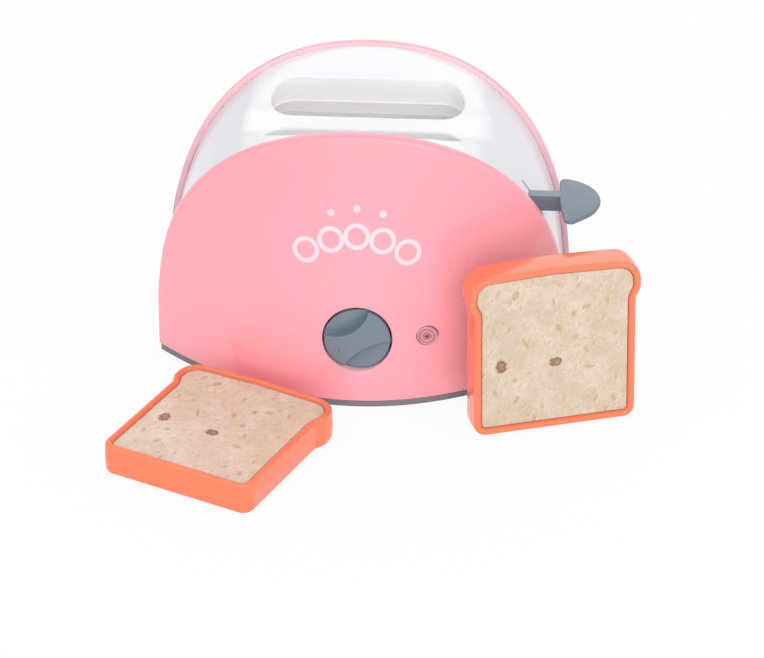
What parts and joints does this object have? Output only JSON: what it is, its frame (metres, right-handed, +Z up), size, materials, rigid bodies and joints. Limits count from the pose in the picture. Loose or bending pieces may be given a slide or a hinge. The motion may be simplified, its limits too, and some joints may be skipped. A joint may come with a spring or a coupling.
{
  "type": "toy toaster",
  "caption": "Toy pop-up toaster with bowed arch covers, dished top with bread slots, side lever, turning timer knob, round lamp and loose toy bread slices.",
  "frame": {"origin": "middle of the toaster's underside, on the floor", "axes": "+X along the toaster towards the lever, +Y from the front cover to the rear cover, +Z up"},
  "size_m": [0.2519, 0.2504, 0.1371],
  "materials": {
    "pink_plastic": "glossy",
    "white_plastic": "glossy",
    "chute_plastic": "satin",
    "grey_plastic": "glossy",
    "base_plastic": "satin",
    "natural_plastic": "satin",
    "lens_plastic": "glossy",
    "led": "glossy",
    "board": "satin",
    "steel": "satin",
    "spring_steel": "polished",
    "cell": "satin",
    "crust": "satin",
    "crumb": "satin"
  },
  "bodies": {
    "body": {"front_cover": "pink_plastic", "rear_cover": "pink_plastic", "left_side_panel": "white_plastic", "right_side_panel": "white_plastic", "top_panel": "white_plastic", "front_bread_chute": "chute_plastic", "rear_bread_chute": "chute_plastic", "base_plate": "base_plastic", "guide_rods": "steel", "lift_spring": "spring_steel", "latch_pin": "steel", "timer_housing": "natural_plastic", "timer_screws": "steel", "lamp_lens": "lens_plastic", "led_lamp": "led", "circuit_board": "board", "lamp_switch": "board", "battery_box": "natural_plastic", "battery_contacts": "spring_steel", "batteries": "cell", "battery_door": "base_plastic", "battery_door_screw": "steel", "front_cover_screws": "steel", "rear_cover_screws": "steel", "base_screws": "steel"},
    "bread_lift": {"bread_carriage": "natural_plastic", "lever_arm": "grey_plastic", "lever_paddle": "grey_plastic"},
    "latch": {"latch_hook": "natural_plastic"},
    "knob": {"timer_knob": "grey_plastic", "timer_shaft": "natural_plastic"},
    "standing_slice": {"standing_slice_crust": "crust", "standing_slice_faces": "crumb"},
    "lying_slice": {"lying_slice_crust": "crust", "lying_slice_faces": "crumb"}
  },
  "joints": [
    {"name": "lever_slide", "type": "slide", "parent": "body", "child": "bread_lift", "axis": [0, 0, -1], "range_m": [0, 0.02], "stiffness_N_per_m": 60, "springref_m": -0.012, "deforming": ["lift_spring"]},
    {"name": "knob_turn", "type": "hinge", "parent": "body", "child": "knob", "pos_m": [0.001, -0.07, 0.0374], "axis": [0, 1, 0], "range_deg": [0, 270]},
    {"name": "latch_swing", "type": "hinge", "parent": "body", "child": "latch", "pos_m": [0.07, 0, 0.015], "axis": [0, -1, 0], "range_deg": [0, 12], "stiffness_Nm_per_rad": 0.02},
    {"name": "standing_slice_lift", "type": "slide", "parent": "body", "child": "standing_slice", "axis": [0, 0, 1], "range_m": [0, 0.1]},
    {"name": "lying_slice_lift", "type": "slide", "parent": "body", "child": "lying_slice", "axis": [0, 0, 1], "range_m": [0, 0.1]}
  ]
}
